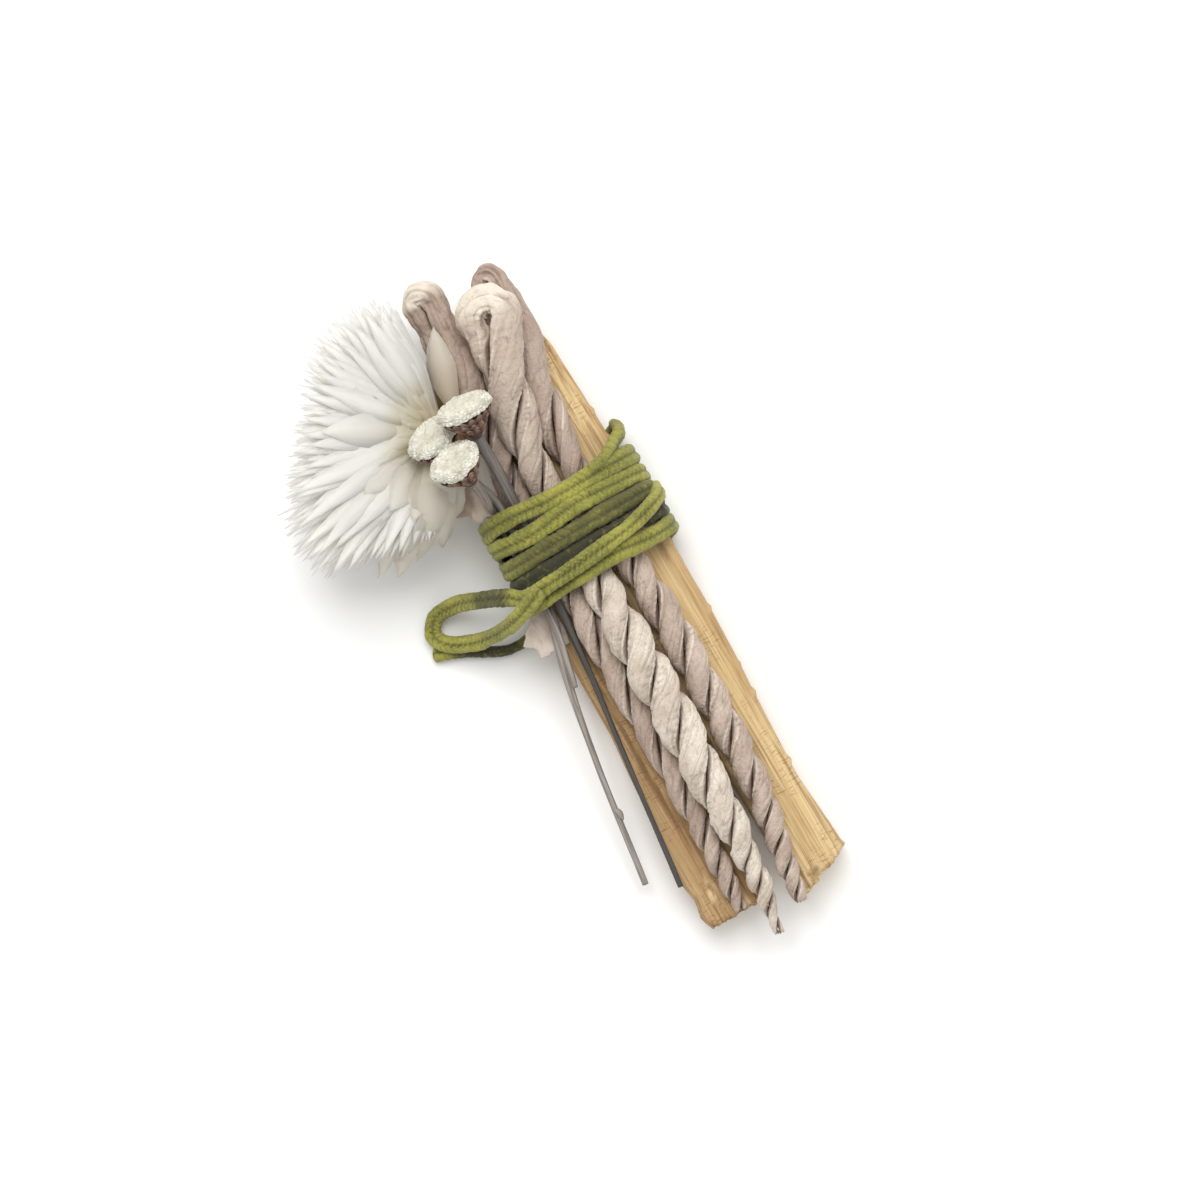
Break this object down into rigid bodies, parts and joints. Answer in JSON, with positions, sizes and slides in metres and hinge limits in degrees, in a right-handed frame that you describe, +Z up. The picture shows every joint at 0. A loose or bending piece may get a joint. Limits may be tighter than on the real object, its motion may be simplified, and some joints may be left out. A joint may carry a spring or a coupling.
{
  "type": "tied bundle of wood sticks, paper ropes and dried flowers",
  "caption": "Small tied bundle lying flat: split wood sticks, looped twisted paper ropes, a white papery everlasting flower and dried button flowers, bound with green braided cord.",
  "frame": {"origin": "middle of the bundle's box, on the surface it lies on", "axes": "+Z up from the surface, +Y along the sticks towards the rope loops, +X to the right as seen from above"},
  "size_m": [0.0564, 0.1209, 0.0357],
  "materials": {
    "wood": "raw split wood",
    "paper": "crumpled twisted paper",
    "bract": "dry papery bracts",
    "button": "dry granular florets",
    "cup": "dry scaly calyx",
    "stalk": "dry stalk",
    "leaf": "thin dry leaf",
    "cord": "flat braided cord"
  },
  "bodies": {
    "root": {"stick_left": "wood", "stick_right": "wood", "rope_left": "paper", "rope_front": "paper", "rope_right": "paper", "flower_head": "bract", "flower_stem": "stalk", "button_cap_upper": "button", "button_cap_middle": "button", "button_cap_lower": "button", "button_cup_upper": "cup", "button_cup_middle": "cup", "button_cup_lower": "cup", "button_stem_upper": "stalk", "button_stem_middle": "stalk", "button_stem_lower": "stalk", "twig_between": "stalk", "leaf_upper": "leaf", "leaf_lower": "leaf", "tie_wraps": "cord", "tie_loop": "cord", "tie_tail": "cord"}
  },
  "joints": []
}
